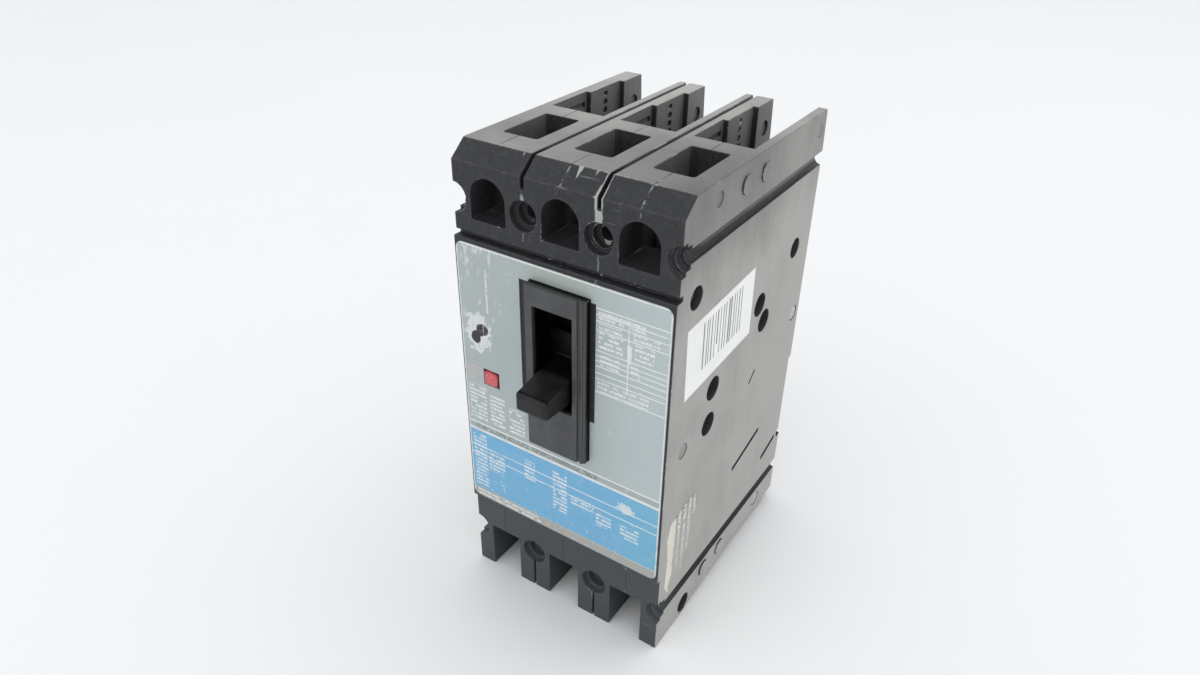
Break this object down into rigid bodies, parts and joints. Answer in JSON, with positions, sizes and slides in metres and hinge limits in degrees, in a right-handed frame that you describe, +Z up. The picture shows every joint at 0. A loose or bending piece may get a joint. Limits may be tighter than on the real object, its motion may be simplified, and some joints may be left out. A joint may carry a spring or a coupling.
{
  "type": "moulded case circuit breaker",
  "caption": "Three-pole moulded case circuit breaker with a front toggle handle, trip button, line windows above and open load ends below.",
  "frame": {"origin": "Middle of the bottom of the bounding box, at rest, with the handle at OFF.", "axes": "X across the poles, Y from the front with the handle to the back, Z up from the feet to the line end."},
  "size_m": [0.0776, 0.1106, 0.1626],
  "materials": {
    "bimetal": "rolled strip",
    "case_phenolic": "charcoal moulded thermoset, satin, worn pale at the edges",
    "copper": "bare copper",
    "fibre": "vulcanised fibre",
    "front_plastic": "black moulded plastic, satin",
    "inner_plastic": "moulded thermoset",
    "label_paper": "printed self-adhesive paper",
    "lug_aluminium": "tin-plated aluminium",
    "nameplate_metal": "printed and lacquered sheet, scuffed",
    "plated_screw": "zinc-plated steel",
    "red_button": "red moulded plastic",
    "silver_alloy": "silver alloy contact",
    "spring_steel": "music wire",
    "zinc_steel": "zinc-plated pressed steel"
  },
  "bodies": {
    "case": {"arc_chute_plates_center": "zinc_steel", "arc_chute_plates_left": "zinc_steel", "arc_chute_plates_right": "zinc_steel", "arc_chute_walls_center": "fibre", "arc_chute_walls_left": "fibre", "arc_chute_walls_right": "fibre", "barcode_sticker": "label_paper", "bimetals": "bimetal", "case_rivets": "plated_screw", "escutcheon": "front_plastic", "flexible_braids": "copper", "left_case_shell": "case_phenolic", "left_partition_shell": "case_phenolic", "line_lug_center": "lug_aluminium", "line_lug_left": "lug_aluminium", "line_lug_right": "lug_aluminium", "line_strap_center": "copper", "line_strap_left": "copper", "line_strap_right": "copper", "load_lug_center": "lug_aluminium", "load_lug_left": "lug_aluminium", "load_lug_right": "lug_aluminium", "load_strap_center": "copper", "load_strap_left": "copper", "load_strap_right": "copper", "magnet_yokes": "zinc_steel", "mechanism_frame": "zinc_steel", "mechanism_pins": "zinc_steel", "nameplate": "nameplate_metal", "right_case_shell": "case_phenolic", "right_partition_shell": "case_phenolic", "stationary_contacts": "silver_alloy", "torn_label": "label_paper"},
    "handle": {"handle": "front_plastic", "handle_yoke": "zinc_steel", "main_springs": "spring_steel"},
    "dust_shield": {"dust_shield": "front_plastic"},
    "crossbar": {"crossbar": "inner_plastic", "contact_arm_left": "copper", "contact_arm_center": "copper", "contact_arm_right": "copper", "moving_contacts": "silver_alloy", "contact_springs": "spring_steel"},
    "lower_link": {"lower_link": "zinc_steel", "knee_pin": "zinc_steel"},
    "upper_link": {"upper_link": "zinc_steel"},
    "trip_bar": {"trip_bar": "inner_plastic"},
    "trip_button": {"trip_button": "red_button", "trip_button_spring": "spring_steel"},
    "latch": {"latch": "zinc_steel"},
    "cradle": {"cradle": "zinc_steel"},
    "armature_left": {"armature_left": "zinc_steel"},
    "line_clamp_screw_left": {"line_clamp_screw_left": "plated_screw"},
    "load_clamp_screw_left": {"load_clamp_screw_left": "plated_screw"},
    "armature_center": {"armature_center": "zinc_steel"},
    "line_clamp_screw_center": {"line_clamp_screw_center": "plated_screw"},
    "load_clamp_screw_center": {"load_clamp_screw_center": "plated_screw"},
    "armature_right": {"armature_right": "zinc_steel"},
    "line_clamp_screw_right": {"line_clamp_screw_right": "plated_screw"},
    "load_clamp_screw_right": {"load_clamp_screw_right": "plated_screw"}
  },
  "joints": [
    {"name": "handle_turn", "type": "hinge", "parent": "case", "child": "handle", "pos_m": [0, 0.0107, 0.1045], "axis": [-1, 0, 0], "range_deg": [-1.7, 16.6], "deforming": ["main_springs"]},
    {"name": "dust_shield_turn", "type": "hinge", "parent": "case", "child": "dust_shield", "pos_m": [0, 0.0107, 0.1045], "axis": [-1, 0, 0], "range_deg": [-0.85, 8.3]},
    {"name": "crossbar_turn", "type": "hinge", "parent": "case", "child": "crossbar", "pos_m": [0, 0.0267, 0.074], "axis": [-1, 0, 0], "range_deg": [-2.46, 24]},
    {"name": "lower_link_turn", "type": "hinge", "parent": "crossbar", "child": "lower_link", "pos_m": [0, 0.01775, 0.08726], "axis": [-1, 0, 0], "range_deg": [-8.85, 0.91]},
    {"name": "upper_link_turn", "type": "hinge", "parent": "lower_link", "child": "upper_link", "pos_m": [0, 0.00595, 0.08182], "axis": [-1, 0, 0], "range_deg": [-50.4, 5.16]},
    {"name": "trip_bar_turn", "type": "hinge", "parent": "case", "child": "trip_bar", "pos_m": [0, -0.0213, 0.062], "axis": [-1, 0, 0], "range_deg": [0, 5.5], "stiffness_Nm_per_rad": 0.1, "springref_deg": -2.86},
    {"name": "trip_button_press", "type": "slide", "parent": "case", "child": "trip_button", "axis": [0, 1, 0], "range_m": [0, 0.0025], "deforming": ["trip_button_spring"]},
    {"name": "latch_turn", "type": "hinge", "parent": "case", "child": "latch", "pos_m": [0, -0.0225, 0.076], "axis": [1, 0, 0], "range_deg": [0, 16]},
    {"name": "cradle_turn", "type": "hinge", "parent": "case", "child": "cradle", "pos_m": [0, -0.0053, 0.113], "axis": [-1, 0, 0], "range_deg": [0, 5]},
    {"name": "armature_turn_left", "type": "hinge", "parent": "case", "child": "armature_left", "pos_m": [-0.0254, -0.0093, 0.05], "axis": [1, 0, 0], "range_deg": [0, 5], "stiffness_Nm_per_rad": 0.01, "springref_deg": -5.73},
    {"name": "armature_turn_center", "type": "hinge", "parent": "case", "child": "armature_center", "pos_m": [0, -0.0093, 0.05], "axis": [1, 0, 0], "range_deg": [0, 5], "stiffness_Nm_per_rad": 0.01, "springref_deg": -5.73},
    {"name": "armature_turn_right", "type": "hinge", "parent": "case", "child": "armature_right", "pos_m": [0.0254, -0.0093, 0.05], "axis": [1, 0, 0], "range_deg": [0, 5], "stiffness_Nm_per_rad": 0.01, "springref_deg": -5.73},
    {"name": "line_clamp_screw_drive_left", "type": "slide", "parent": "case", "child": "line_clamp_screw_left", "axis": [0, 1, 0], "range_m": [0, 0.007]},
    {"name": "load_clamp_screw_drive_left", "type": "slide", "parent": "case", "child": "load_clamp_screw_left", "axis": [0, 1, 0], "range_m": [0, 0.007]},
    {"name": "line_clamp_screw_drive_center", "type": "slide", "parent": "case", "child": "line_clamp_screw_center", "axis": [0, 1, 0], "range_m": [0, 0.007]},
    {"name": "load_clamp_screw_drive_center", "type": "slide", "parent": "case", "child": "load_clamp_screw_center", "axis": [0, 1, 0], "range_m": [0, 0.007]},
    {"name": "line_clamp_screw_drive_right", "type": "slide", "parent": "case", "child": "line_clamp_screw_right", "axis": [0, 1, 0], "range_m": [0, 0.007]},
    {"name": "load_clamp_screw_drive_right", "type": "slide", "parent": "case", "child": "load_clamp_screw_right", "axis": [0, 1, 0], "range_m": [0, 0.007]}
  ],
  "couplings": [
    {"joint": "dust_shield_turn", "follows": "handle_turn", "ratio": 0.5},
    {"joint": "crossbar_turn", "follows": "handle_turn", "ratio": 1.4458},
    {"joint": "lower_link_turn", "follows": "handle_turn", "ratio": -0.533},
    {"joint": "upper_link_turn", "follows": "handle_turn", "ratio": -3.036},
    {"joint": "trip_button_press", "follows": "trip_bar_turn", "m_per_rad": 0.026041},
    {"joint": "latch_turn", "follows": "trip_bar_turn", "ratio": 2.9088},
    {"joint": "cradle_turn", "follows": "trip_bar_turn", "ratio": 0.909}
  ]
}
